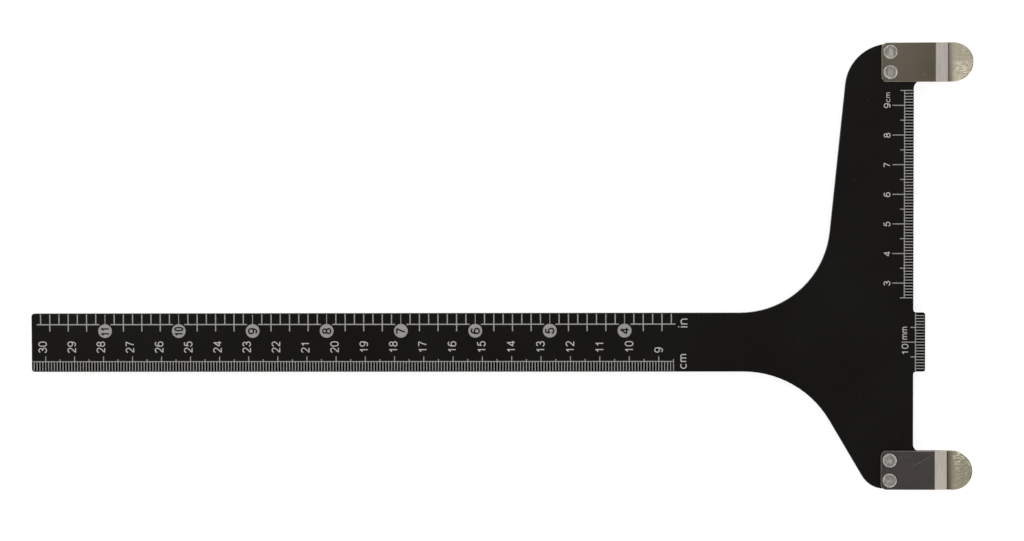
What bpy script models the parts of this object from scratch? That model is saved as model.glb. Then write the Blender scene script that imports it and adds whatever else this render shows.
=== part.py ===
"""Bow square: a T-shaped aluminium rule that snaps onto a bow string with four sprung steel strips.

Frame: +X points out of the string edge, +Y up the head and +Z out of the graduated face.
Origin: where the ruler's centre line meets the string edge, halfway through the plate.
"""

import math

import bmesh
import bpy
from mathutils import Vector

MM = 0.001
INCH = 25.4 * MM

# Plate
PLATE_THICKNESS = 2.0 * MM
EDGE_BEVEL = 0.15 * MM
RULER_LENGTH = 12 * INCH
RULER_WIDTH = 20.0 * MM
RULER_END_RADIUS = 0.9 * MM
TAB_DEPTH = 4.0 * MM
TAB_CORNER_RADIUS = 0.65 * MM
TAB_ROOT_RADIUS = 1.0 * MM

# The two arms of the head. Their places are those of the centre lines, above and below the ruler's.
UPPER_ARM = 94.5 * MM
LOWER_ARM = 43.5 * MM
ARM_WIDTH = 12.6 * MM
ARM_END_RADIUS = 1.0 * MM
ARM_ROOT_RADIUS = 2.5 * MM

# The sloped sides of the head. A foot is where a side would meet the ruler's edge, from the string edge.
UPPER_FOOT = 35.0 * MM
UPPER_SLOPE = math.radians(5.93)
UPPER_FILLET_RADIUS = 30.4 * MM
UPPER_SHOULDER_RADIUS = 15.0 * MM
LOWER_FOOT = 42.0 * MM
LOWER_SLOPE = math.radians(30.4)
LOWER_FILLET_RADIUS = 33.8 * MM
LOWER_SHOULDER_RADIUS = 8.5 * MM

# Spring strips, one on each face of each arm
STRIP_WIDTH = 13.2 * MM
STRIP_THICKNESS = 0.5 * MM
STRIP_BACK = 14.9 * MM
STRIP_REACH = 15.6 * MM
STRIP_CORNER_RADIUS = 1.8 * MM
POCKET_DEPTH = 3.2 * MM
DIP_LENGTH = 4.3 * MM
DIP_DROP = 0.75 * MM
FOLD_RADIUS = 0.8 * MM
VALLEY_RADIUS = 1.4 * MM
FLARE_ANGLE = math.radians(12.5)
FLARE_RADIUS = 24.0 * MM
TIP_ANGLE = math.radians(17)

# Rivets, two through each arm
RIVET_INSET = 12.0 * MM
RIVET_SPACING = 6.8 * MM
SHANK_RADIUS = 1.3 * MM
HEAD_RADIUS = 2.35 * MM
HEAD_HEIGHT = 0.8 * MM
HEAD_ROUNDING = 0.2 * MM
RIM_WIDTH = 0.45 * MM
DISH_DEPTH = 0.14 * MM

# Clearances between pieces that touch on the real object
SEAT_GAP = 0.2 * MM
HOLE_CLEARANCE = 0.2 * MM
HOLE_RADIUS = SHANK_RADIUS + HOLE_CLEARANCE

# Graduations, engraved in the front face. A margin, base or reach is a distance in from the plate's edge.
MARK_WIDTH = 0.34 * MM
INCH_MARK_WIDTH = 0.43 * MM
DISC_MARK_WIDTH = 0.29 * MM
MARK_DEPTH = 0.1 * MM
MARK_MARGIN = 0.22 * MM

# Centimetre scale along the ruler's lower edge, in millimetres from the string edge
CM_FIRST = 85
CM_BASE = 3.5 * MM
CM_HALF_REACH = 4.35 * MM
CM_REACH = 5.35 * MM

# Inch scale along the ruler's upper edge, in eighths of an inch from the string edge
INCH_FIRST = 27
INCH_BASE = 3.8 * MM
INCH_REACH = 6.2 * MM
INCH_LEAD = 1.4 * MM
DISC_RADIUS = 2.4 * MM
DISC_INSET = 6.0 * MM
DISC_CLEARANCE = 0.5 * MM

# Height scale along the head, in millimetres over the ruler's lower edge
HEIGHT_FIRST = 25
HEIGHT_LAST = 95
HEIGHT_BASE = 3.1 * MM
HEIGHT_HALF_REACH = 4.6 * MM
HEIGHT_REACH = 7.2 * MM

# Scale across the string tab, in millimetres over the ruler's lower edge
TAB_BASE = 3.3 * MM
TAB_HALF_REACH = 5.0 * MM
TAB_REACH = 7.95 * MM

# Fineness of the facets
ARC_SAG = 0.025 * MM
RIVET_SIDES = 16
DISC_SIDES = 20
LEAST_STEP = 0.001 * MM


def clear_scene():
    for thing in list(bpy.data.objects):
        bpy.data.objects.remove(thing, do_unlink=True)


def new_collection(name):
    collection = bpy.data.collections.new(name)
    bpy.context.scene.collection.children.link(collection)
    return collection


def new_material(name, colour, metallic, roughness):
    material = bpy.data.materials.new(name)
    material.use_nodes = True
    shader = material.node_tree.nodes["Principled BSDF"]
    shader.inputs["Base Color"].default_value = (*colour, 1)
    shader.inputs["Metallic"].default_value = metallic
    shader.inputs["Roughness"].default_value = roughness
    return material


def corner_arc(before, corner, after, radius):
    """Points of the arc that rounds a corner, or the corner alone where the radius is zero."""
    corner = Vector(corner)
    back = (Vector(before) - corner).normalized()
    ahead = (Vector(after) - corner).normalized()
    turn = math.pi - back.angle(ahead)
    if radius <= 0 or turn < 1e-6:
        return [corner]
    centre = corner + (back + ahead).normalized() * radius / math.cos(turn / 2)
    start = corner + back * radius * math.tan(turn / 2) - centre
    side = 1 if back.x * ahead.y - back.y * ahead.x < 0 else -1
    steps = max(2, math.ceil(turn / (2 * math.acos(1 - ARC_SAG / radius))))
    points = []
    for step in range(steps + 1):
        angle = side * turn * step / steps
        across = Vector((-start.y, start.x))
        points.append(centre + start * math.cos(angle) + across * math.sin(angle))
    return points


def rounded_path(corners, closed):
    """A path through (x, y, radius) corners, with each corner rounded to its radius."""
    path = []
    last = len(corners) - 1
    for index, (x, y, radius) in enumerate(corners):
        if not closed and index in (0, last):
            path.append(Vector((x, y)))
            continue
        before = corners[index - 1][:2]
        after = corners[(index + 1) % len(corners)][:2]
        path += corner_arc(before, (x, y), after, radius)
    return without_repeats(path)


def without_repeats(path):
    """The points of a closed path, leaving out those that lie on the one before them."""
    return [point for index, point in enumerate(path) if (point - path[index - 1]).length > LEAST_STEP]


def thickened_path(path, thickness):
    """The closed outline of a sheet whose middle follows an open path."""
    sides = ([], [])
    for index, point in enumerate(path):
        into = point - path[index - 1] if index else path[1] - point
        out = path[index + 1] - point if index + 1 < len(path) else into
        into = into.normalized()
        out = out.normalized()
        along = (into + out).normalized()
        across = Vector((-along.y, along.x)) * thickness / 2 / into.dot(along)
        sides[0].append(point + across)
        sides[1].append(point - across)
    return sides[1] + sides[0][::-1]


def prism(name, outline, low, high, collection):
    """A solid with a flat outline in its own XY plane, from low to high."""
    curve = bpy.data.curves.new(name, "CURVE")
    curve.dimensions = "2D"
    curve.fill_mode = "BOTH"
    curve.extrude = (high - low) / 2
    spline = curve.splines.new("POLY")
    spline.points.add(len(outline) - 1)
    for point, place in zip(spline.points, outline):
        point.co = (place[0], place[1], 0, 1)
    spline.use_cyclic_u = True
    guide = bpy.data.objects.new(name + "_outline", curve)
    collection.objects.link(guide)
    solid = bpy.data.objects.new(name, evaluated_mesh(guide))
    collection.objects.link(solid)
    bpy.data.objects.remove(guide, do_unlink=True)
    shell = bmesh.new()
    shell.from_mesh(solid.data)
    bmesh.ops.remove_doubles(shell, verts=shell.verts, dist=LEAST_STEP)
    for side in (-1, 1):
        cap = [face for face in shell.faces if all(vertex.co.z * side > 0 for vertex in face.verts)]
        bmesh.ops.dissolve_faces(shell, faces=cap)
    bmesh.ops.recalc_face_normals(shell, faces=shell.faces)
    bmesh.ops.translate(shell, verts=shell.verts, vec=(0, 0, (low + high) / 2))
    shell.to_mesh(solid.data)
    shell.free()
    return solid


def evaluated_mesh(thing):
    """A new mesh of an object as it stands with its modifiers."""
    bpy.context.view_layer.update()
    return bpy.data.meshes.new_from_object(thing.evaluated_get(bpy.context.evaluated_depsgraph_get()))


def cylinder(name, radius, depth, place, collection):
    bpy.ops.mesh.primitive_cylinder_add(vertices=RIVET_SIDES, radius=radius, depth=depth, location=place)
    solid = bpy.context.object
    solid.name = name
    for other in solid.users_collection:
        other.objects.unlink(solid)
    collection.objects.link(solid)
    return solid


def combine(solid, tool, operation):
    modifier = solid.modifiers.new(tool.name, "BOOLEAN")
    modifier.operation = operation
    modifier.object = tool
    tool.hide_render = True
    tool.display_type = "WIRE"


def bevel(solid, width):
    modifier = solid.modifiers.new("edge chamfer", "BEVEL")
    modifier.width = width
    modifier.segments = 1
    modifier.limit_method = "ANGLE"
    modifier.angle_limit = math.radians(50)


def shade_smooth(mesh):
    mesh.shade_smooth()
    mesh.set_sharp_from_angle(angle=math.radians(30))


def plate_outline():
    """Corners of the one-piece plate, anticlockwise from the ruler's lower far corner."""
    edge = RULER_WIDTH / 2
    head = -TAB_DEPTH
    upper_top = UPPER_ARM + ARM_WIDTH / 2
    upper_bottom = UPPER_ARM - ARM_WIDTH / 2
    lower_top = -LOWER_ARM + ARM_WIDTH / 2
    lower_bottom = -LOWER_ARM - ARM_WIDTH / 2
    upper_shoulder = -UPPER_FOOT + (upper_top - edge) * math.tan(UPPER_SLOPE)
    lower_shoulder = -LOWER_FOOT + (-edge - lower_bottom) * math.tan(LOWER_SLOPE)
    return rounded_path(
        [
            (-RULER_LENGTH, -edge, RULER_END_RADIUS),
            (-LOWER_FOOT, -edge, LOWER_FILLET_RADIUS),
            (lower_shoulder, lower_bottom, LOWER_SHOULDER_RADIUS),
            (0, lower_bottom, ARM_END_RADIUS),
            (0, lower_top, ARM_END_RADIUS),
            (head, lower_top, ARM_ROOT_RADIUS),
            (head, -edge, TAB_ROOT_RADIUS),
            (0, -edge, TAB_CORNER_RADIUS),
            (0, edge, TAB_CORNER_RADIUS),
            (head, edge, TAB_ROOT_RADIUS),
            (head, upper_bottom, ARM_ROOT_RADIUS),
            (0, upper_bottom, ARM_END_RADIUS),
            (0, upper_top, ARM_END_RADIUS),
            (upper_shoulder, upper_top, UPPER_SHOULDER_RADIUS),
            (-UPPER_FOOT, edge, UPPER_FILLET_RADIUS),
            (-RULER_LENGTH, edge, RULER_END_RADIUS),
        ],
        closed=True,
    )


def arms():
    """Name and centre line of each arm."""
    return (("upper", UPPER_ARM), ("lower", -LOWER_ARM))


def rivet_rows():
    """Name and distance from the arm's centre line of the two rivets in each arm."""
    return (("high", RIVET_SPACING / 2), ("low", -RIVET_SPACING / 2))


def comb_outline(ticks, width, base, start, end):
    """Outline of a base line with ticks, as (place along the scale, distance from the plate's edge).

    Each tick is (place, margin, reach), and runs from its margin to its reach, or to the base line if that is
    further in.
    """
    half = width / 2
    near = [(start, base - half)]
    far = [(start, base + half)]
    for place, margin, reach in ticks:
        left = place - half
        right = place + half
        near += [(left, base - half), (left, margin), (right, margin), (right, base - half)]
        if reach > base + half:
            far += [(left, base + half), (left, reach), (right, reach), (right, base + half)]
    near.append((end, base - half))
    far.append((end, base + half))
    return without_repeats([Vector(point) for point in near + far[::-1]])


def disc_outline(place):
    """Outline of a numbered disc and the fine tick that joins it to the plate's edge."""
    half = DISC_MARK_WIDTH / 2
    opening = math.asin(half / DISC_RADIUS)
    points = [Vector((place + half, MARK_MARGIN)), Vector((place - half, MARK_MARGIN))]
    for step in range(DISC_SIDES + 1):
        angle = opening + (2 * math.pi - 2 * opening) * step / DISC_SIDES
        across = DISC_RADIUS * math.sin(angle)
        points.append(Vector((place - across, DISC_INSET - DISC_RADIUS * math.cos(angle))))
    return points


def corner_margin(distance, radius, width):
    """How far in a tick starts, at its centre's distance from the end of an edge with a rounded corner."""
    into_corner = max(0, radius + width / 2 - distance)
    return MARK_MARGIN + radius - math.sqrt(radius ** 2 - into_corner ** 2)


def multiple_reach(number, half_reach, full_reach, base):
    """How far in the mark of a whole number of millimetres goes."""
    if number % 10 == 0:
        return full_reach
    return half_reach if number % 5 == 0 else base


def along_lower_edge(point):
    return (-point.x, -RULER_WIDTH / 2 + point.y)


def along_upper_edge(point):
    return (-point.x, RULER_WIDTH / 2 - point.y)


def along_head(point):
    return (-TAB_DEPTH - point.y, -RULER_WIDTH / 2 + point.x)


def across_tab(point):
    return (-point.y, -RULER_WIDTH / 2 + point.x)


def centimetre_marks():
    ticks = []
    for number in range(CM_FIRST, math.ceil(RULER_LENGTH / MM - 0.5)):
        place = number * MM
        margin = corner_margin(RULER_LENGTH - place, RULER_END_RADIUS, MARK_WIDTH)
        ticks.append((place, margin, multiple_reach(number, CM_HALF_REACH, CM_REACH, CM_BASE)))
    start = CM_FIRST * MM - MARK_WIDTH / 2
    return [comb_outline(ticks, MARK_WIDTH, CM_BASE, start, RULER_LENGTH - MARK_MARGIN)]


def inch_marks():
    """A comb for each stretch between numbered discs, and the discs."""
    eighth = INCH / 8
    last = math.ceil(RULER_LENGTH / eighth - 0.5) - 1
    gap = math.sqrt((DISC_RADIUS + DISC_CLEARANCE) ** 2 - (DISC_INSET - INCH_BASE) ** 2)
    outlines = []
    start = INCH_FIRST * eighth - INCH_LEAD
    ticks = []
    for number in range(INCH_FIRST, last + 1):
        place = number * eighth
        if number % 8:
            margin = corner_margin(RULER_LENGTH - place, RULER_END_RADIUS, INCH_MARK_WIDTH)
            ticks.append((place, margin, INCH_BASE if number % 2 else INCH_REACH))
            continue
        outlines.append(comb_outline(ticks, INCH_MARK_WIDTH, INCH_BASE, start, place - gap))
        outlines.append(disc_outline(place))
        start = place + gap
        ticks = []
    outlines.append(comb_outline(ticks, INCH_MARK_WIDTH, INCH_BASE, start, last * eighth + INCH_LEAD))
    return outlines


def height_marks():
    ticks = [
        (number * MM, MARK_MARGIN, multiple_reach(number, HEIGHT_HALF_REACH, HEIGHT_REACH, HEIGHT_BASE))
        for number in range(HEIGHT_FIRST, HEIGHT_LAST + 1)
    ]
    half = MARK_WIDTH / 2
    return [comb_outline(ticks, MARK_WIDTH, HEIGHT_BASE, HEIGHT_FIRST * MM - half, HEIGHT_LAST * MM + half)]


def tab_marks():
    ticks = []
    for number in range(1, math.ceil(RULER_WIDTH / MM - 0.5)):
        place = number * MM
        margin = corner_margin(min(place, RULER_WIDTH - place), TAB_CORNER_RADIUS, MARK_WIDTH)
        ticks.append((place, margin, multiple_reach(number, TAB_HALF_REACH, TAB_REACH, TAB_BASE)))
    return [comb_outline(ticks, MARK_WIDTH, TAB_BASE, MARK_MARGIN, RULER_WIDTH - MARK_MARGIN)]


def make_marks(collection):
    """Cutters for every graduation on the front face."""
    face = PLATE_THICKNESS / 2
    scales = (
        ("centimetre", centimetre_marks(), along_lower_edge),
        ("inch", inch_marks(), along_upper_edge),
        ("height", height_marks(), along_head),
        ("tab", tab_marks(), across_tab),
    )
    for name, outlines, placed in scales:
        for number, outline in enumerate(outlines):
            points = [placed(point) for point in outline]
            mark = prism(f"{name}_marks_{number}", points, face - MARK_DEPTH, face + MARK_DEPTH, collection)
            mark.hide_render = True
            mark.display_type = "WIRE"


def make_plate(parts, cutters, marks, material):
    plate = prism("plate", plate_outline(), -PLATE_THICKNESS / 2, PLATE_THICKNESS / 2, parts)
    bevel(plate, EDGE_BEVEL)
    for arm, centre in arms():
        for row, offset in rivet_rows():
            place = (-RIVET_INSET, centre + offset, 0)
            hole = cylinder(f"{arm}_{row}_hole", HOLE_RADIUS, 2 * PLATE_THICKNESS, place, cutters)
            combine(plate, hole, "DIFFERENCE")
    make_marks(marks)
    engraving = plate.modifiers.new("graduations", "BOOLEAN")
    engraving.operation = "DIFFERENCE"
    engraving.operand_type = "COLLECTION"
    engraving.collection = marks
    plate.data.materials.append(material)


def strip_middle():
    """Height of the middle of a flat stretch of strip over the middle of the plate."""
    return PLATE_THICKNESS / 2 + SEAT_GAP + STRIP_THICKNESS / 2


def strip_section():
    """Side view of a strip, as (distance out of the string edge, height over the plate's middle)."""
    flat = strip_middle()
    valley = flat - DIP_DROP
    dip_end = POCKET_DEPTH + DIP_LENGTH
    valley_turn = math.atan2(DIP_DROP, DIP_LENGTH) + FLARE_ANGLE
    flare_bend = dip_end + VALLEY_RADIUS * math.tan(valley_turn / 2)
    flare_bend += FLARE_RADIUS * math.tan((TIP_ANGLE - FLARE_ANGLE) / 2)
    bend_height = valley + (flare_bend - dip_end) * math.tan(FLARE_ANGLE)
    beyond = STRIP_REACH + STRIP_THICKNESS
    path = rounded_path(
        [
            (-STRIP_BACK - STRIP_THICKNESS, flat, 0),
            (POCKET_DEPTH, flat, FOLD_RADIUS),
            (dip_end, valley, VALLEY_RADIUS),
            (flare_bend, bend_height, FLARE_RADIUS),
            (beyond, bend_height + (beyond - flare_bend) * math.tan(TIP_ANGLE), 0),
        ],
        closed=False,
    )
    return thickened_path(path, STRIP_THICKNESS)


def strip_mesh(cutters):
    """One spring strip over the front face, with its centre line over the X axis."""
    half = STRIP_WIDTH / 2
    strip = prism("strip", strip_section(), -STRIP_WIDTH, STRIP_WIDTH, cutters)
    strip.rotation_euler.x = math.pi / 2
    blank_outline = rounded_path(
        [
            (-STRIP_BACK, -half, STRIP_CORNER_RADIUS),
            (STRIP_REACH, -half, half),
            (STRIP_REACH, half, half),
            (-STRIP_BACK, half, STRIP_CORNER_RADIUS),
        ],
        closed=True,
    )
    blank = prism("strip_blank", blank_outline, -STRIP_REACH, STRIP_REACH, cutters)
    combine(blank, strip, "INTERSECT")
    tools = [blank, strip]
    for row, offset in rivet_rows():
        place = (-RIVET_INSET, offset, strip_middle())
        hole = cylinder(f"strip_{row}_hole", HOLE_RADIUS, 2 * STRIP_THICKNESS, place, cutters)
        combine(blank, hole, "DIFFERENCE")
        tools.append(hole)
    mesh = evaluated_mesh(blank)
    for tool in tools:
        bpy.data.objects.remove(tool, do_unlink=True)
    mesh.name = "strip"
    shade_smooth(mesh)
    return mesh


def make_strips(parts, cutters, material):
    mesh = strip_mesh(cutters)
    mesh.materials.append(material)
    for arm, centre in arms():
        for face, turn in (("front", 0), ("back", math.pi)):
            strip = bpy.data.objects.new(f"{arm}_{face}_strip", mesh)
            strip.location.y = centre
            strip.rotation_euler.x = turn
            parts.objects.link(strip)


def rivet_mesh(cutters):
    """A rivet turned about the Z axis, with a rimmed and slightly dished head on each face."""
    seat = PLATE_THICKNESS / 2 + 2 * SEAT_GAP + STRIP_THICKNESS
    top = seat + HEAD_HEIGHT
    upper_half = [
        (0, top - DISH_DEPTH),
        (HEAD_RADIUS - RIM_WIDTH, top),
        (HEAD_RADIUS, top - HEAD_ROUNDING),
        (HEAD_RADIUS, seat),
        (SHANK_RADIUS, seat),
    ]
    section = upper_half + [(radius, -height) for radius, height in upper_half[::-1]]
    profile = bmesh.new()
    corners = [profile.verts.new((radius, 0, height)) for radius, height in section]
    for first, second in zip(corners, corners[1:]):
        profile.edges.new((first, second))
    line = bpy.data.meshes.new("rivet_profile")
    profile.to_mesh(line)
    profile.free()
    turned = bpy.data.objects.new("rivet_profile", line)
    cutters.objects.link(turned)
    screw = turned.modifiers.new("turned", "SCREW")
    screw.steps = RIVET_SIDES
    screw.render_steps = RIVET_SIDES
    screw.use_merge_vertices = True
    screw.merge_threshold = LEAST_STEP
    mesh = evaluated_mesh(turned)
    bpy.data.objects.remove(turned, do_unlink=True)
    mesh.name = "rivet"
    shade_smooth(mesh)
    return mesh


def make_rivets(parts, cutters, material):
    mesh = rivet_mesh(cutters)
    mesh.materials.append(material)
    for arm, centre in arms():
        for row, offset in rivet_rows():
            rivet = bpy.data.objects.new(f"{arm}_{row}_rivet", mesh)
            rivet.location = (-RIVET_INSET, centre + offset, 0)
            parts.objects.link(rivet)


def main():
    clear_scene()
    parts = new_collection("bow_square")
    cutters = new_collection("cutters")
    marks = new_collection("graduation cutters")
    anodised = new_material("black_anodised_aluminium", (0.012, 0.011, 0.010), 0.2, 0.45)
    spring_steel = new_material("spring_steel", (0.52, 0.50, 0.46), 1.0, 0.32)
    rivet_metal = new_material("rivet_aluminium", (0.62, 0.61, 0.60), 1.0, 0.4)
    make_plate(parts, cutters, marks, anodised)
    make_strips(parts, cutters, spring_steel)
    make_rivets(parts, cutters, rivet_metal)


main()
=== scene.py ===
"""Dresses the bow square: camera, soft light, materials, engraved numbers and turned rivet heads."""
import math

import bmesh
import bpy
from mathutils import Euler, Matrix, Vector


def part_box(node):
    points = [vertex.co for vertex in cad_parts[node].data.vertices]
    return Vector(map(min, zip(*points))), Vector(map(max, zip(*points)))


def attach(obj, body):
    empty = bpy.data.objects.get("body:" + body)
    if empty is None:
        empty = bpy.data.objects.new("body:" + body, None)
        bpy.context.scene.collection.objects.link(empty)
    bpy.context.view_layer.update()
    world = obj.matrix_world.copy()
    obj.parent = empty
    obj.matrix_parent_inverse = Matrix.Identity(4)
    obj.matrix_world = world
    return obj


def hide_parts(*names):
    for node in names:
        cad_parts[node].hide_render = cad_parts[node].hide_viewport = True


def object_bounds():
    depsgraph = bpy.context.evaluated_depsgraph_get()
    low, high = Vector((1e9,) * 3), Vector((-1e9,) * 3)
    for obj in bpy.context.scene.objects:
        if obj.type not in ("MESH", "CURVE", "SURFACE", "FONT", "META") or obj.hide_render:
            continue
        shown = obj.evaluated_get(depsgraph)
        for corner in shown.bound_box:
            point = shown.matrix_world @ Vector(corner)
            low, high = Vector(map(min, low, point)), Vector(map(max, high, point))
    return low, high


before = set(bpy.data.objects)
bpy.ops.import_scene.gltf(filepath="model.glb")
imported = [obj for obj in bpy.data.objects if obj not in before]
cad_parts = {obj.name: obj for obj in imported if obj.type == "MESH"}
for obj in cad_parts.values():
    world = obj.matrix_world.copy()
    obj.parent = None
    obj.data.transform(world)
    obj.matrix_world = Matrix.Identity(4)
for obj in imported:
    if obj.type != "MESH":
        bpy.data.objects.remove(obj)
cad_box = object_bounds()

MM = 0.001
INCH = 25.4 * MM

# The camera, as it fits the photograph
TARGET = Vector((-139.8, 24.5, 1.0)) * MM
DISTANCE = 800 * MM
CAMERA_TURN = (-1.84, 2.11, -0.18)
LENS = 82.69
SENSOR = 36

# The dark opening over the camera in the white light tent: its tilt and reach in degrees, and its shades by
# the angle from its middle
OPENING_TILT = 8
OPENING_REACH = 45
OPENING_SHADES = (
    (7, (0.032, 0.030, 0.032)),
    (11, (0.062, 0.058, 0.060)),
    (16.5, (0.170, 0.150, 0.122)),
    (20, (0.22, 0.205, 0.175)),
    (23.7, (0.42, 0.40, 0.335)),
    (27, (0.98, 0.96, 0.86)),
    (31, (0.82, 0.81, 0.84)),
    (34, (0.71, 0.71, 0.74)),
    (44, (1.0, 1.0, 1.0)),
)

# One broad lamp, and the white sheet under the object: its shade for the light that it sends to the object,
# and its shade and glow where it is seen
LAMP_PLACE = (-0.9, 0.7, 0.8)
LAMP_SIZE = 0.5
LAMP_ENERGY = 2.0
SHEET_RADIUS = 4
SHEET_DROP = 0.02 * MM
SHEET_SHADE = 0.8
SEEN_SHADE = 0.28
SEEN_GLOW = 0.84

# Places on the plate, in the CAD frame
FACE = 1.0 * MM
JUST_UNDER_FACE = 0.97 * MM
ENGRAVED_FLOOR = 0.9 * MM
RULER_EDGE = -10 * MM
DISC_LINE = 4.0 * MM
DISC_REACH = 2.45 * MM

# Where the millimetre marks stand so close that the black between them gets painted shade, so that it looks
# deeper: X from and to, and Y from and to, in millimetres
PAINTED_SHADE_BANDS = (
    (-304.6, -84.8, -9.9, -6.5),
    (-7.1, -4.1, 14.8, 85.2),
    (-3.3, -0.1, -9.9, 9.9),
)

# The size of a normal's Z: over FLAT a face lies flat, under WALL it stands upright, and between them is a
# chamfer
FLAT = 0.9
WALL = 0.2

# Where the strips' finish changes, from and to in X: the slope that the string rubs, the neck past it, and
# the tip. Then the way from the lower to the upper strips, in Y.
SLOPE = (3.1 * MM, 3.4 * MM)
NECK = (7.2 * MM, 7.6 * MM)
TIP = (8.2 * MM, 10.5 * MM)
LOWER_TO_UPPER = (-10 * MM, 10 * MM)

# On the upper strips, the flat's colour from its end to its middle and on to the dip, in X, and where the tip
# turns calm, in Y. Then how far up the upper tips are battered, and how far down the lower ones, in Y.
UPPER_END_TO_MIDDLE = (-10 * MM, -6 * MM)
UPPER_MIDDLE_TO_DIP = (-7 * MM, 1 * MM)
UPPER_CALM = (94.5 * MM, 95.1 * MM)
UPPER_BATTERED = (92.5 * MM, 96.0 * MM)
LOWER_BATTERED = (-44 * MM, -39 * MM)

# Steel, as linear colours. The slope and neck pairs give the lower strips' colour first, and the other pairs
# mix in patches. The upper strips' colours differ from the lower ones' partly as painted light and shade, as
# all strips are the same steel.
LOWER_FLAT = ((0.61, 0.56, 0.54, 1), (0.535, 0.52, 0.50, 1))
UPPER_FLAT = ((0.61, 0.535, 0.445, 1), (0.53, 0.49, 0.41, 1))
UPPER_FLAT_MIDDLE = (0.665, 0.60, 0.495, 1)
UPPER_FLAT_END = (0.685, 0.65, 0.55, 1)
BOTH_SLOPES = ((0.60, 0.56, 0.52, 1), (0.535, 0.50, 0.47, 1))
# Painted shade: the necks' fold gets a darker colour than the slopes beside it, lower strips first
PAINTED_NECK_SHADES = ((0.45, 0.425, 0.345, 1), (0.52, 0.49, 0.41, 1))
LOWER_TIP = (0.44, 0.415, 0.335, 1)
BATTERED_UPPER_TIP = (0.645, 0.60, 0.50, 1)
CALM_UPPER_TIP = (0.50, 0.465, 0.38, 1)
TARNISH = ((0.97, 0.98, 0.95, 1), (1.04, 1.0, 0.98, 1))
DARK_DASH = (0.30, 0.29, 0.235, 1)
LIGHT_DASH = (0.98, 0.95, 0.79, 1)

# A few light scratches on the strips' faces, as start and end in millimetres
SCRATCHES = (
    ((-4.7, -42.4), (1.3, -39.0)),
    ((-9.4, -39.1), (-4.8, -38.6)),
    ((-1.2, 90.4), (0.8, 90.3)),
)
SCRATCH_WIDTH = 0.18 * MM
SCRATCH_STRENGTH = 0.085
SCRATCH_COLOUR = (0.9, 0.89, 0.87, 1)

# The rivets, and how far from a rivet's axis the painted shade in its dish darkens, from and to
RIVETS = ("upper_high_rivet", "upper_low_rivet", "lower_high_rivet", "lower_low_rivet")
DISH = (0.4 * MM, 1.4 * MM)

# Rivet metals: name, dull and bright colour, roughness of the two, painted shading at the axis and away from
# it, and painted shading of the upper rivets
RIVET_METALS = (
    ("pressed_aluminium", (0.27, 0.255, 0.235, 1), (0.63, 0.61, 0.575, 1), (0.58, 0.46), (1.08, 0.87), 1.06),
    ("rubbed_aluminium", (0.53, 0.515, 0.49, 1), (0.92, 0.90, 0.86, 1), (0.42, 0.30), (1.0, 1.0), 0.92),
)

# A turned rivet head: its radius as a share of the plain head's, its rim's inside as a share of its own
# radius, and its profile as shares of its radius with depths under its top in millimetres
HEAD_SHARE = 0.965
RIM_SHARE = 0.905
HEAD_PROFILE = (
    (0.0, 0.17),
    (0.5, 0.15),
    (0.85, 0.11),
    (RIM_SHARE, 0.08),
    (0.92, 0.03),
    (0.935, 0.004),
    (0.947, 0.0),
    (0.96, 0.01),
    (0.978, 0.05),
    (0.993, 0.13),
    (1.0, 0.24),
)
HEAD_THICKNESS = 0.8 * MM
HEAD_EASE = 0.03 * MM
SHANK = 1.3 * MM
RIVET_STEPS = 72

# Fine geometry: points nearer than WELD are one, and the strips' edges are eased by STRIP_EASE. The angles
# are in degrees.
WELD = 0.001 * MM
STRIP_EASE = 0.07 * MM
EASE_STEPS = 3
EASED_OVER = 60
SMOOTH_UNDER = 30
RIVET_SMOOTH_UNDER = 50

# Lettering: height and stroke in millimetres, width against the glyph's own, and gap as a share of the height
LETTERING = {
    "centimetre_numbers": (2.95, 0.335, 1.03, 0.1),
    "centimetre_unit_letters": (2.2, 0.35, 0.98, 0.13),
    "inch_unit_letters": (2.5, 0.36, 0.86, 0.1),
    "inch_numbers": (3.2, 0.45, 1.12, 0.1),
    "inch_double_numbers": (3.1, 0.42, 0.8, 0.06),
    "height_numbers": (2.3, 0.30, 1.18, 0.1),
    "height_unit_letters": (1.35, 0.23, 1.08, 0.1),
    "tab_numbers": (2.3, 0.29, 1.24, 0.15),
    "tab_unit_letters": (1.72, 0.27, 0.94, 0.16),
}
IN_DISCS = ("inch_numbers", "inch_double_numbers")

# Labels written once: lettering, text, the foot's X, and the start's Y over the ruler's lower edge, in
# millimetres
LABELS = (
    ("centimetre_unit_letters", "cm", -80.52, 0.95),
    ("inch_unit_letters", "i", -80.1, 15.07),
    ("inch_unit_letters", "n", -80.1, 16.05),
    ("height_unit_letters", "cm", -11.91, 91.0),
    ("tab_numbers", "10", -5.65, 5.65),
    ("tab_unit_letters", "mm", -5.98, 10.85),
)

# The scales' numbers. Those of the centimetre scale are a little further apart than its marks, as on the
# real one.
CENTIMETRES = range(9, 31)
NUMBER_PITCH = 10.045 * MM
NUMBER_LEAD = 1.85 * MM
NUMBER_START = RULER_EDGE + 6.5 * MM
SINGLE_INCHES = range(4, 10)
SINGLE_INCH_DROP = 0.08 * MM
DOUBLE_INCHES = range(10, 12)
DOUBLE_INCH_DROP = 0.2 * MM
HEIGHTS = range(3, 10)
HEIGHT_FOOT = -11.8 * MM
HEIGHT_DROP = 0.1 * MM

# How far printed letters stand up from the face and reach into it, and how far the discs' numbers stay
# under it
PRINT_RISE = 0.015 * MM
PRINT_SINK = 0.03 * MM
ISLAND_DROP = 0.005 * MM


def linear(level):
    """Linear value of an 8-bit sRGB level."""
    share = level / 255
    return share / 12.92 if share <= 0.04045 else ((share + 0.055) / 1.055) ** 2.4


def colour(red, green, blue):
    """Linear colour, with alpha, of 8-bit sRGB levels."""
    return (linear(red), linear(green), linear(blue), 1)


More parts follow.
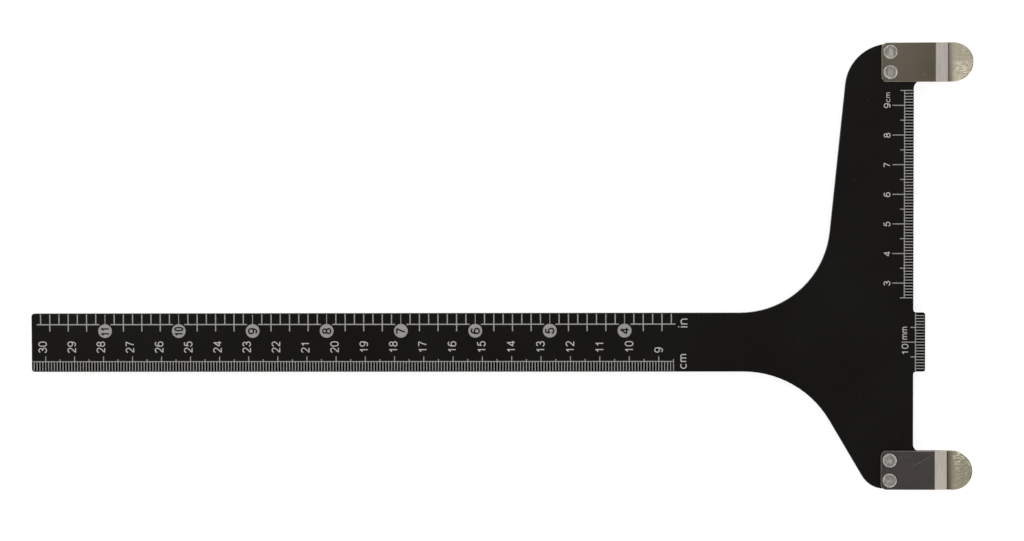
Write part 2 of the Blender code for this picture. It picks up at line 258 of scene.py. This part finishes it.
class Nodes:
    """A material's or world's node tree, with short calls to build it."""

    def __init__(self, tree):
        self.tree = tree
        tree.nodes.clear()

    def add(self, kind, inputs=None, **settings):
        node = self.tree.nodes.new(kind)
        for name, value in settings.items():
            setattr(node, name, value)
        for socket, value in (inputs or {}).items():
            self.put(node.inputs[socket], value)
        return node

    def put(self, socket, value):
        if isinstance(value, bpy.types.NodeSocket):
            self.tree.links.new(value, socket)
        else:
            socket.default_value = value

    def math(self, operation, first, second=0.0, third=0.0, clamp=False):
        inputs = {0: first, 1: second, 2: third}
        return self.add("ShaderNodeMath", inputs, operation=operation, use_clamp=clamp).outputs[0]

    def vector(self, operation, first, second=None):
        """A vector operation's node."""
        inputs = {0: first} if second is None else {0: first, 1: second}
        return self.add("ShaderNodeVectorMath", inputs, operation=operation)

    def ramp(self, value, low, high, start=0.0, end=1.0):
        """A value that runs smoothly from start at low to end at high."""
        node = self.add(
            "ShaderNodeMapRange",
            {"Value": value, "From Min": low, "From Max": high, "To Min": start, "To Max": end},
            interpolation_type="SMOOTHSTEP",
        )
        return node.outputs["Result"]

    def mix(self, factor, first, second, blend="MIX"):
        """A mix of two colours, by the Mix node's factor and its pair of colour sockets."""
        node = self.add("ShaderNodeMix", data_type="RGBA", blend_type=blend)
        self.put(node.inputs[0], factor)
        self.put(node.inputs[6], first)
        self.put(node.inputs[7], second)
        return node.outputs[2]

    def place(self, scale=(1, 1, 1)):
        """Place in the CAD frame in metres, stretched by scale."""
        coordinates = self.add("ShaderNodeTexCoord").outputs["Object"]
        return self.add("ShaderNodeMapping", {"Vector": coordinates, "Scale": scale}).outputs[0]

    def noise(self, vector, scale, detail, roughness=0.55):
        inputs = {"Vector": vector, "Scale": scale, "Detail": detail, "Roughness": roughness}
        return self.add("ShaderNodeTexNoise", inputs).outputs["Fac"]

    def line(self, vector, start, end, width):
        """1 along a straight line between two points in the XY plane, 0 beyond its width."""
        start = Vector((*start, 0)) * MM
        along = Vector((*end, 0)) * MM - start
        offset = self.vector("SUBTRACT", vector, tuple(start)).outputs[0]
        flat = self.vector("MULTIPLY", offset, (1, 1, 0)).outputs[0]
        share = self.vector("DOT_PRODUCT", flat, tuple(along / along.length_squared)).outputs["Value"]
        share = self.math("MULTIPLY", share, 1.0, clamp=True)
        away = self.vector("DISTANCE", flat, self.scaled(tuple(along), share)).outputs["Value"]
        return self.ramp(away, 0.0, width, 1.0, 0.0)

    def scaled(self, vector, factor):
        """A vector or colour times a factor."""
        node = self.vector("SCALE", vector)
        self.put(node.inputs["Scale"], factor)
        return node.outputs[0]

    def bump(self, height, strength, distance, normal=None):
        node = self.add("ShaderNodeBump", {"Height": height, "Strength": strength, "Distance": distance})
        if normal is not None:
            self.put(node.inputs["Normal"], normal)
        return node.outputs["Normal"]


def new_material(name):
    """A material with an empty tree but for its shader and output."""
    material = bpy.data.materials.new(name)
    material.use_nodes = True
    nodes = Nodes(material.node_tree)
    shader = nodes.add("ShaderNodeBsdfPrincipled")
    output = nodes.add("ShaderNodeOutputMaterial")
    nodes.put(output.inputs["Surface"], shader.outputs[0])
    return material, nodes, shader


def anodised_material():
    """Satin black anodising with fine grain, dust specks, rubbed chamfers and light engraved marks."""
    material, nodes, shader = new_material("black_anodised")
    place = nodes.place()
    grain = nodes.noise(place, 2600, 4)
    cloud = nodes.noise(place, 28, 3)
    pitted = nodes.noise(place, 5200, 3)
    normal = nodes.add("ShaderNodeNewGeometry").outputs["True Normal"]
    upward = nodes.add("ShaderNodeSeparateXYZ", {0: normal}).outputs[2]
    out, along, height = nodes.add("ShaderNodeSeparateXYZ", {0: place}).outputs
    front = nodes.math("GREATER_THAN", height, FACE / 2)

    cells = nodes.add("ShaderNodeTexVoronoi", {"Vector": place, "Scale": 420.0, "Randomness": 1.0})
    lucky = nodes.add("ShaderNodeSeparateColor", {0: cells.outputs["Color"]}).outputs[0]
    near = nodes.ramp(cells.outputs["Distance"], 0.03, 0.085, 1.0, 0.0)
    speck = nodes.math("MULTIPLY", near, nodes.math("GREATER_THAN", lucky, 0.86))

    side = nodes.math("ABSOLUTE", upward)
    tilted = nodes.math("LESS_THAN", side, FLAT)
    chamfer = nodes.math("MULTIPLY", tilted, nodes.math("GREATER_THAN", side, WALL))
    rubbed = nodes.math("MULTIPLY", chamfer, nodes.ramp(nodes.noise(place, 600, 4), 0.4, 0.75))

    between = 0.0
    for left, right, low, high in PAINTED_SHADE_BANDS:
        across = nodes.math("COMPARE", out, (left + right) / 2 * MM, (right - left) / 2 * MM)
        up = nodes.math("COMPARE", along, (low + high) / 2 * MM, (high - low) / 2 * MM)
        between = nodes.math("MAXIMUM", between, nodes.math("MULTIPLY", across, up))
    between = nodes.math("MULTIPLY", between, front)

    black = nodes.mix(nodes.ramp(grain, 0.3, 0.7), colour(14, 13, 12), colour(20, 19, 17))
    black = nodes.mix(nodes.ramp(cloud, 0.35, 0.7, 0.0, 0.35), black, colour(14, 14, 14))
    # Painted shade: the black between close millimetre marks is made darker
    black = nodes.mix(nodes.math("MULTIPLY", between, 0.9), black, colour(3, 3, 3))
    black = nodes.mix(nodes.math("MULTIPLY", speck, 0.6), black, colour(96, 94, 90))
    black = nodes.mix(nodes.math("MULTIPLY", rubbed, 0.5), black, colour(88, 86, 84))

    floor = nodes.math("MULTIPLY", nodes.math("GREATER_THAN", upward, FLAT), front)
    floor = nodes.math("MULTIPLY", floor, nodes.math("LESS_THAN", height, JUST_UNDER_FACE))
    past_inch = nodes.math("PINGPONG", out, INCH / 2)
    off_line = nodes.math("SUBTRACT", along, DISC_LINE)
    squares = nodes.math("ADD", nodes.math("POWER", past_inch, 2), nodes.math("POWER", off_line, 2))
    in_disc = nodes.math("LESS_THAN", nodes.math("POWER", squares, 0.5), DISC_REACH)
    mark = nodes.mix(nodes.ramp(pitted, 0.3, 0.7), colour(155, 154, 151), colour(183, 182, 179))
    disc = nodes.mix(nodes.ramp(pitted, 0.3, 0.7), colour(143, 142, 138), colour(170, 169, 165))
    mark = nodes.mix(in_disc, mark, disc)

    satin = nodes.ramp(cloud, 0.3, 0.7, 0.30, 0.38)
    satin = nodes.math("MULTIPLY_ADD", between, -0.12, satin)
    shader.inputs["Metallic"].default_value = 0
    shader.inputs["Specular IOR Level"].default_value = 0.2
    nodes.put(shader.inputs["Base Color"], nodes.mix(floor, black, mark))
    nodes.put(shader.inputs["Roughness"], nodes.math("ADD", satin, nodes.math("MULTIPLY", floor, 0.25)))
    nodes.put(shader.inputs["Normal"], nodes.bump(grain, 0.25, 0.01 * MM))
    return material


def print_material():
    """Light laser marking: matt, a little uneven."""
    material, nodes, shader = new_material("light_marking")
    place = nodes.place()
    uneven = nodes.noise(place, 4200, 4)
    pale = nodes.mix(nodes.ramp(uneven, 0.3, 0.7), colour(174, 172, 168), colour(198, 196, 191))
    nodes.put(shader.inputs["Base Color"], pale)
    shader.inputs["Specular IOR Level"].default_value = 0.3
    shader.inputs["Roughness"].default_value = 0.6
    nodes.put(shader.inputs["Normal"], nodes.bump(uneven, 0.3, 0.01 * MM))
    return material


def steel_material():
    """Cold-rolled spring steel: faint streaks, slopes that the string rubbed, brushed tips and scratches."""
    material, nodes, shader = new_material("spring_steel")
    place = nodes.place()
    streaks = nodes.noise(nodes.place((1, 0.03, 1)), 4200, 3, 0.6)
    brushed = nodes.noise(nodes.place((0.22, 1, 1)), 2300, 3, 0.6)
    cloud = nodes.noise(place, 170, 2)
    out, along, _ = nodes.add("ShaderNodeSeparateXYZ", {0: place}).outputs
    upper = nodes.ramp(along, *LOWER_TO_UPPER)
    slope = nodes.ramp(out, *SLOPE)
    neck = nodes.ramp(out, *NECK)
    tip = nodes.ramp(out, *TIP)

    low_part = nodes.ramp(along, *UPPER_BATTERED, 1.0, 0.3)
    high_part = nodes.ramp(along, *LOWER_BATTERED, 0.3, 1.0)
    battered = nodes.math("MULTIPLY", low_part, high_part)
    battered = nodes.math("MULTIPLY", battered, nodes.ramp(nodes.noise(place, 330, 1), 0.38, 0.6, 0.35, 1.0))
    battered = nodes.math("MULTIPLY", battered, tip)

    scratch = 0.0
    for start, end in SCRATCHES:
        scratch = nodes.math("MAXIMUM", scratch, nodes.line(place, start, end, SCRATCH_WIDTH))
    worn = nodes.ramp(nodes.noise(place, 420, 2), 0.35, 0.65, 0.55, 1.0)
    scratch = nodes.math("MULTIPLY", scratch, nodes.math("MULTIPLY", worn, SCRATCH_STRENGTH))

    patches = nodes.ramp(cloud, 0.35, 0.65)
    upper_flat = nodes.mix(patches, *UPPER_FLAT)
    upper_flat = nodes.mix(nodes.ramp(out, *UPPER_MIDDLE_TO_DIP), UPPER_FLAT_MIDDLE, upper_flat)
    upper_flat = nodes.mix(nodes.ramp(out, *UPPER_END_TO_MIDDLE), UPPER_FLAT_END, upper_flat)
    upper_tip = nodes.mix(nodes.ramp(along, *UPPER_CALM), BATTERED_UPPER_TIP, CALM_UPPER_TIP)
    # The upper and lower strips get different colours here, partly as painted light and shade
    steel = nodes.mix(upper, nodes.mix(patches, *LOWER_FLAT), upper_flat)
    steel = nodes.mix(slope, steel, nodes.mix(upper, *BOTH_SLOPES))
    # Painted shade in the neck, the fold past the slope
    steel = nodes.mix(neck, steel, nodes.mix(upper, *PAINTED_NECK_SHADES))
    steel = nodes.mix(tip, steel, nodes.mix(upper, LOWER_TIP, upper_tip))

    tarnish = nodes.mix(nodes.ramp(cloud, 0.38, 0.62), *TARNISH)
    steel = nodes.mix(tip, steel, nodes.mix(1.0, steel, tarnish, "MULTIPLY"))
    dark = nodes.math("MULTIPLY", nodes.ramp(brushed, 0.36, 0.47, 0.85, 0.0), battered)
    steel = nodes.mix(dark, steel, DARK_DASH)
    light = nodes.math("MULTIPLY", nodes.ramp(brushed, 0.51, 0.60, 0.0, 1.0), battered)
    steel = nodes.mix(light, steel, LIGHT_DASH)
    streak = nodes.ramp(streaks, 0.3, 0.7, 0.95, 1.05)
    band = nodes.math("SUBTRACT", slope, neck)
    streak = nodes.math("POWER", streak, nodes.math("MULTIPLY_ADD", band, 1.5, 0.6))
    steel = nodes.scaled(steel, streak)
    steel = nodes.mix(scratch, steel, SCRATCH_COLOUR)

    spread = nodes.math("MULTIPLY", tip, nodes.ramp(brushed, 0.3, 0.7, -0.03, 0.03))
    shader.inputs["Metallic"].default_value = 1
    nodes.put(shader.inputs["Base Color"], steel)
    nodes.put(shader.inputs["Roughness"], nodes.math("ADD", nodes.math("ADD", 0.20, spread), scratch))
    nodes.put(shader.inputs["Normal"], nodes.bump(brushed, battered, 0.05 * MM))
    return material


def rivet_material(name, dull, bright, roughness, shades, painted_upper_shade):
    """Pressed aluminium, mottled, with painted shading by the distance from the nearest rivet's axis."""
    material, nodes, shader = new_material(name)
    place = nodes.place()
    mottle = nodes.noise(nodes.place((1, 0.55, 1)), 1300, 4, 0.6)
    fine = nodes.noise(place, 4800, 3)
    flat = nodes.vector("MULTIPLY", place, (1, 1, 0)).outputs[0]
    from_axis = DISH[1]
    for rivet in RIVETS:
        low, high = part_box(rivet)
        axis = ((low.x + high.x) / 2, (low.y + high.y) / 2, 0)
        away = nodes.vector("DISTANCE", flat, axis).outputs["Value"]
        from_axis = nodes.math("MINIMUM", from_axis, away)
    # Painted shading: by the distance from the nearest rivet's axis, and again on the upper rivets
    shade = nodes.ramp(from_axis, *DISH, *shades)
    along = nodes.add("ShaderNodeSeparateXYZ", {0: place}).outputs[1]
    shade = nodes.math("MULTIPLY", shade, nodes.ramp(along, *LOWER_TO_UPPER, 1.0, painted_upper_shade))
    metal = nodes.mix(nodes.ramp(mottle, 0.3, 0.7), dull, bright)
    shader.inputs["Metallic"].default_value = 1
    nodes.put(shader.inputs["Base Color"], nodes.scaled(metal, shade))
    nodes.put(shader.inputs["Roughness"], nodes.ramp(mottle, 0.3, 0.7, *roughness))
    nodes.put(shader.inputs["Normal"], nodes.bump(mottle, 0.6, 0.06 * MM, nodes.bump(fine, 0.3, 0.01 * MM)))
    return material


def smooth_group():
    """Geometry nodes that shade a mesh smooth but for its sharp edges."""
    group = bpy.data.node_groups.new("smooth_by_angle", "GeometryNodeTree")
    for way in ("INPUT", "OUTPUT"):
        group.interface.new_socket("Geometry", in_out=way, socket_type="NodeSocketGeometry")
    nodes = Nodes(group)
    shape = nodes.add("NodeGroupInput").outputs[0]
    smooth = nodes.add("GeometryNodeSetShadeSmooth", {"Geometry": shape, "Shade Smooth": True}, domain="FACE")
    angle = nodes.add("GeometryNodeInputMeshEdgeAngle").outputs["Unsigned Angle"]
    shallow = nodes.math("LESS_THAN", angle, math.radians(SMOOTH_UNDER))
    edges = nodes.add(
        "GeometryNodeSetShadeSmooth", {"Geometry": smooth.outputs[0], "Shade Smooth": shallow}, domain="EDGE"
    )
    nodes.put(nodes.add("NodeGroupOutput").inputs[0], edges.outputs[0])
    return group


def soften(node, group):
    """Rounds a node's sharp edges a little and shades its bends smoothly."""
    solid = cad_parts[node]
    weld = solid.modifiers.new("weld", "WELD")
    weld.merge_threshold = WELD
    edge = solid.modifiers.new("eased edges", "BEVEL")
    edge.width = STRIP_EASE
    edge.segments = EASE_STEPS
    edge.limit_method = "ANGLE"
    edge.angle_limit = math.radians(EASED_OVER)
    edge.use_clamp_overlap = False
    smooth = solid.modifiers.new("smooth bends", "NODES")
    smooth.node_group = group
    weighted = solid.modifiers.new("flat faces", "WEIGHTED_NORMAL")
    weighted.keep_sharp = True


def arc(centre, radii, start, end, steps=14):
    """Points of an elliptical arc, with its angles in degrees."""
    points = []
    for step in range(steps + 1):
        angle = math.radians(start + (end - start) * step / steps)
        points.append((centre[0] + radii[0] * math.cos(angle), centre[1] + radii[1] * math.sin(angle)))
    return points


def loop(centre, radii, squareness=1.0, steps=28):
    """Points of a closed oval; under 1 the squareness swells its corners."""
    points = []
    for step in range(steps):
        angle = 2 * math.pi * step / steps
        across = math.copysign(abs(math.cos(angle)) ** squareness, math.cos(angle))
        along = math.copysign(abs(math.sin(angle)) ** squareness, math.sin(angle))
        points.append((centre[0] + radii[0] * across, centre[1] + radii[1] * along))
    return points


def turned_over(strokes):
    """Strokes turned half a turn about the middle of their box."""
    return [(closed, [(1 - x, 1 - y) for x, y in points]) for closed, points in strokes]


SIX = [
    (True, loop((0.5, 0.305), (0.5, 0.305), 0.95)),
    (False, arc((0.56, 0.56), (0.52, 0.44), 44, 150) + [(0.015, 0.5), (0.0, 0.305)]),
]
ARCH = arc((0.5, 0.62), (0.5, 0.38), 165, 0) + [(1.0, 0.0)]

# Each character's width as a share of its height or x-height, and the middle lines of its strokes in a box
# from 0 to 1. A stroke is (closed, points).
GLYPHS = {
    "0": (0.60, [(True, loop((0.5, 0.5), (0.5, 0.5), 0.88))]),
    "1": (0.60, [(False, [(0.60, 0.0), (0.60, 1.0)]), (False, [(0.60, 0.97), (0.40, 0.80), (0.14, 0.70)])]),
    "2": (
        0.60,
        [
            (False, arc((0.5, 0.73), (0.48, 0.27), 172, -28) + [(0.62, 0.36), (0.28, 0.17), (0.06, 0.02)]),
            (False, [(0.0, 0.0), (1.0, 0.0)]),
        ],
    ),
    "3": (
        0.60,
        [
            (False, arc((0.47, 0.76), (0.43, 0.24), 165, -90) + [(0.36, 0.52)]),
            (False, [(0.36, 0.52)] + arc((0.48, 0.26), (0.52, 0.26), 90, -168)),
        ],
    ),
    "4": (
        0.67,
        [
            (False, [(0.70, 0.0), (0.70, 1.0)]),
            (False, [(0.72, 0.99), (0.0, 0.26)]),
            (False, [(0.0, 0.25), (1.0, 0.25)]),
        ],
    ),
    "5": (
        0.60,
        [
            (False, [(0.92, 1.0), (0.22, 1.0)]),
            (False, [(0.24, 1.0), (0.10, 0.49)]),
            (False, [(0.10, 0.49)] + arc((0.49, 0.33), (0.51, 0.33), 128, -165)),
        ],
    ),
    "6": (0.60, SIX),
    "7": (
        0.60,
        [
            (False, [(0.0, 1.0), (1.0, 1.0)]),
            (False, [(0.97, 0.99), (0.66, 0.62), (0.44, 0.28), (0.36, 0.0)]),
        ],
    ),
    "8": (0.60, [(True, loop((0.5, 0.76), (0.42, 0.24))), (True, loop((0.5, 0.265), (0.5, 0.265)))]),
    "9": (0.60, turned_over(SIX)),
    "c": (0.96, [(False, arc((0.52, 0.5), (0.52, 0.5), 48, 312, 20))]),
    "i": (0.17, [(False, [(0.5, 0.0), (0.5, 1.06)]), (False, [(0.5, 1.28), (0.5, 1.47)])]),
    "m": (
        1.26,
        [
            (False, [(0.0, 0.0), (0.0, 1.0)]),
            (False, [(x / 2, y) for x, y in ARCH]),
            (False, [(0.5 + x / 2, y) for x, y in ARCH]),
        ],
    ),
    "n": (0.94, [(False, [(0.0, 0.0), (0.0, 1.0)]), (False, ARCH)]),
}


def ribbon(name, points, closed, thickness, low, high):
    """A flat band of even thickness along a path, as an object."""
    path = [Vector(point) for point in points]
    count = len(path)
    shell = bmesh.new()
    rows = []
    for index, point in enumerate(path):
        into = point - path[index - 1] if closed or index else path[1] - path[0]
        out = path[(index + 1) % count] - point if closed or index + 1 < count else into
        into = into.normalized()
        out = out.normalized()
        along = (into + out).normalized()
        across = Vector((-along.y, along.x)) * thickness / 2 / max(into.dot(along), 0.5)
        sides = (point + across, point - across)
        rows.append([[shell.verts.new((side.x, side.y, z)) for z in (low, high)] for side in sides])
    spans = [(rows[index], rows[(index + 1) % count]) for index in range(count if closed else count - 1)]
    for (left, right), (next_left, next_right) in spans:
        shell.faces.new((left[1], right[1], next_right[1], next_left[1]))
        shell.faces.new((left[0], next_left[0], next_right[0], right[0]))
        shell.faces.new((left[0], left[1], next_left[1], next_left[0]))
        shell.faces.new((right[0], next_right[0], next_right[1], right[1]))
    if not closed:
        for left, right in (rows[0], rows[-1]):
            shell.faces.new((left[0], right[0], right[1], left[1]))
    bmesh.ops.recalc_face_normals(shell, faces=shell.faces)
    band = bpy.data.objects.new(name, bpy.data.meshes.new(name))
    shell.to_mesh(band.data)
    shell.free()
    bpy.context.scene.collection.objects.link(band)
    return band


def glyph_mesh(character, height, width, thickness, low, high):
    """One character as a flat solid, its lower left corner at the origin."""
    bands = []
    for closed, points in GLYPHS[character][1]:
        half = thickness / 2
        path = [(half + x * (width - thickness), half + y * (height - thickness)) for x, y in points]
        bands.append(ribbon("stroke", path, closed, thickness, low, high))
    for band in bands[1:]:
        union = bands[0].modifiers.new("joined", "BOOLEAN")
        union.operation = "UNION"
        union.object = band
    bpy.context.view_layer.update()
    mesh = bpy.data.meshes.new_from_object(bands[0].evaluated_get(bpy.context.evaluated_depsgraph_get()))
    for band in bands:
        bpy.data.objects.remove(band, do_unlink=True)
    return mesh


class Lettering:
    """Characters of one size, and the labels written with them as one piece."""

    def __init__(self, name, low, high):
        height, thickness, squeeze, gap = LETTERING[name]
        self.name = name
        self.height = height * MM
        self.thickness = thickness * MM
        self.span = (low, high)
        self.squeeze = squeeze
        self.gap = gap * self.height
        self.glyphs = {}
        self.shell = bmesh.new()

    def width(self, character):
        return max(GLYPHS[character][0] * self.height * self.squeeze, self.thickness)

    def length(self, text):
        return sum(self.width(character) for character in text) + self.gap * (len(text) - 1)

    def write(self, text, base, start):
        """Writes text that reads up the plate, with its foot on x = base and its start at y = start."""
        for character in text:
            if character not in self.glyphs:
                self.glyphs[character] = glyph_mesh(
                    character, self.height, self.width(character), self.thickness, *self.span
                )
            glyph = self.glyphs[character].copy()
            glyph.transform(Matrix.Translation((base, start, 0)) @ Matrix.Rotation(math.pi / 2, 4, "Z"))
            self.shell.from_mesh(glyph)
            start += self.width(character) + self.gap

    def write_centred(self, text, base, centre):
        self.write(text, base, centre - self.length(text) / 2)

    def write_inches(self, numbers, drop):
        """Writes numbers in the middle of their discs, a little below the discs' line."""
        for number in numbers:
            self.write_centred(str(number), -number * INCH + self.height / 2, DISC_LINE - drop)

    def finish(self, material):
        """Makes one piece of all that was written."""
        bmesh.ops.remove_doubles(self.shell, verts=self.shell.verts, dist=WELD)
        bmesh.ops.dissolve_degenerate(self.shell, edges=self.shell.edges, dist=WELD)
        mesh = bpy.data.meshes.new(self.name)
        self.shell.to_mesh(mesh)
        self.shell.free()
        mesh.materials.append(material)
        piece = bpy.data.objects.new(self.name, mesh)
        bpy.context.scene.collection.objects.link(piece)
        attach(piece, "root")
        return piece


def write_numbers(light, dark):
    """Writes all numbers and unit letters: light ones on the face, and dark ones that stand in the discs."""
    printed = (FACE - PRINT_SINK, FACE + PRINT_RISE)
    island = (ENGRAVED_FLOOR - PRINT_SINK, FACE - ISLAND_DROP)
    made = {name: Lettering(name, *(island if name in IN_DISCS else printed)) for name in LETTERING}
    for number in CENTIMETRES:
        made["centimetre_numbers"].write(str(number), NUMBER_LEAD - NUMBER_PITCH * number, NUMBER_START)
    made["inch_numbers"].write_inches(SINGLE_INCHES, SINGLE_INCH_DROP)
    made["inch_double_numbers"].write_inches(DOUBLE_INCHES, DOUBLE_INCH_DROP)
    for number in HEIGHTS:
        middle = RULER_EDGE + 10 * number * MM - HEIGHT_DROP
        made["height_numbers"].write_centred(str(number), HEIGHT_FOOT, middle)
    for name, text, foot, start in LABELS:
        made[name].write(text, foot * MM, RULER_EDGE + start * MM)
    for name, lettering in made.items():
        if name in IN_DISCS:
            lettering.finish(dark)
        else:
            lettering.finish(light)


def turned_rivet(name, node, metals):
    """A pressed rivet with a raised rim and a shallow dish on each head, in place of its plain solid."""
    low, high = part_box(node)
    middle = (low + high) / 2
    radius = HEAD_SHARE * (high.x - low.x) / 2
    top = high.z - middle.z
    seat = top - HEAD_THICKNESS
    half = [(share * radius, top - depth * MM) for share, depth in HEAD_PROFILE]
    half += [(radius, seat + HEAD_EASE), (radius - HEAD_EASE, seat), (SHANK, seat)]
    profile = half + [(distance, -height) for distance, height in half[::-1]]
    shell = bmesh.new()
    points = [shell.verts.new((distance, 0, height)) for distance, height in profile]
    edges = [shell.edges.new(pair) for pair in zip(points, points[1:])]
    turn = {"cent": (0, 0, 0), "axis": (0, 0, 1), "angle": 2 * math.pi, "steps": RIVET_STEPS}
    bmesh.ops.spin(shell, geom=points + edges, use_merge=True, **turn)
    bmesh.ops.remove_doubles(shell, verts=shell.verts, dist=2 * WELD)
    bmesh.ops.recalc_face_normals(shell, faces=shell.faces)
    for face in shell.faces:
        face.material_index = int(face.calc_center_median().xy.length > RIM_SHARE * radius)
    bmesh.ops.translate(shell, verts=shell.verts, vec=middle)
    mesh = bpy.data.meshes.new(name)
    shell.to_mesh(mesh)
    shell.free()
    mesh.shade_smooth()
    mesh.set_sharp_from_angle(angle=math.radians(RIVET_SMOOTH_UNDER))
    for metal in metals:
        mesh.materials.append(metal)
    rivet = bpy.data.objects.new(name, mesh)
    bpy.context.scene.collection.objects.link(rivet)
    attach(rivet, "root")
    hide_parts(node)


def paint(node, material):
    """Gives a carried-over node its material."""
    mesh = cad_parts[node].data
    mesh.materials.clear()
    mesh.materials.append(material)


def make_camera():
    """The camera, over the target and turned as in the photograph."""
    data = bpy.data.cameras.new("camera")
    data.sensor_width = SENSOR
    data.lens = LENS
    turn = Euler([math.radians(angle) for angle in CAMERA_TURN])
    camera = bpy.data.objects.new("camera", data)
    camera.rotation_euler = turn
    camera.location = TARGET + turn.to_matrix() @ Vector((0, 0, DISTANCE))
    bpy.context.scene.collection.objects.link(camera)
    bpy.context.scene.camera = camera


def make_world():
    """A white light tent with a soft dark opening over the object, where the camera stands."""
    world = bpy.data.worlds.new("light_tent")
    world.use_nodes = True
    nodes = Nodes(world.node_tree)
    way = nodes.add("ShaderNodeTexCoord").outputs["Generated"]
    opening = Vector((0, -math.tan(math.radians(OPENING_TILT)), 1)).normalized()
    facing = nodes.vector("DOT_PRODUCT", way, tuple(opening))
    angle = nodes.math("ARCCOSINE", facing.outputs["Value"])
    shades = nodes.add("ShaderNodeValToRGB", {0: nodes.math("DIVIDE", angle, math.radians(OPENING_REACH))})
    stops = shades.color_ramp.elements
    while len(stops) < len(OPENING_SHADES):
        stops.new(0.5)
    for stop, (degrees, shade) in zip(stops, OPENING_SHADES):
        stop.position = degrees / OPENING_REACH
        stop.color = (*shade, 1)
    background = nodes.add("ShaderNodeBackground", {"Color": shades.outputs[0], "Strength": 1.0})
    output = nodes.add("ShaderNodeOutputWorld")
    nodes.put(output.inputs["Surface"], background.outputs[0])
    bpy.context.scene.world = world


def make_floor():
    """A white sheet under the object. It keeps a faint shadow."""
    shell = bmesh.new()
    bmesh.ops.create_circle(shell, cap_ends=True, segments=96, radius=SHEET_RADIUS)
    mesh = bpy.data.meshes.new("floor")
    shell.to_mesh(mesh)
    shell.free()
    floor = bpy.data.objects.new("floor", mesh)
    floor.location.z = cad_box[0].z - SHEET_DROP
    bpy.context.scene.collection.objects.link(floor)
    material = bpy.data.materials.new("white_sheet")
    material.use_nodes = True
    nodes = Nodes(material.node_tree)
    path = nodes.add("ShaderNodeLightPath")
    seen = nodes.math("MAXIMUM", path.outputs["Is Camera Ray"], path.outputs["Is Glossy Ray"])
    seen = nodes.math("MAXIMUM", seen, path.outputs["Is Transmission Ray"])
    plain = nodes.add("ShaderNodeBsdfDiffuse", {"Color": (SHEET_SHADE, SHEET_SHADE, SHEET_SHADE, 1)})
    dim = nodes.add("ShaderNodeBsdfDiffuse", {"Color": (SEEN_SHADE, SEEN_SHADE, SEEN_SHADE, 1)})
    glow = nodes.add("ShaderNodeEmission", {"Color": (1, 1, 1, 1), "Strength": SEEN_GLOW})
    lifted = nodes.add("ShaderNodeAddShader", {0: dim.outputs[0], 1: glow.outputs[0]})
    mixed = nodes.add("ShaderNodeMixShader", {0: seen, 1: plain.outputs[0], 2: lifted.outputs[0]})
    output = nodes.add("ShaderNodeOutputMaterial")
    nodes.put(output.inputs["Surface"], mixed.outputs[0])
    mesh.materials.append(material)


def make_lamp():
    """One broad soft lamp from the upper left."""
    data = bpy.data.lights.new("soft_lamp", "AREA")
    data.shape = "DISK"
    data.size = LAMP_SIZE
    data.energy = LAMP_ENERGY
    lamp = bpy.data.objects.new("soft_lamp", data)
    lamp.location = LAMP_PLACE
    lamp.rotation_euler = (TARGET - lamp.location).to_track_quat("-Z", "Y").to_euler()
    bpy.context.scene.collection.objects.link(lamp)


bpy.context.scene.view_settings.view_transform = "Standard"
make_camera()
make_world()
make_floor()
make_lamp()
anodised = anodised_material()
steel = steel_material()
metals = [rivet_material(*metal) for metal in RIVET_METALS]
smoothing = smooth_group()
paint("plate", anodised)
for arm in ("upper", "lower"):
    for side in ("front", "back"):
        paint(f"{arm}_{side}_strip", steel)
        soften(f"{arm}_{side}_strip", smoothing)
    for row in ("high", "low"):
        turned_rivet(f"{arm}_{row}_turned_rivet", f"{arm}_{row}_rivet", metals)
write_numbers(print_material(), anodised)
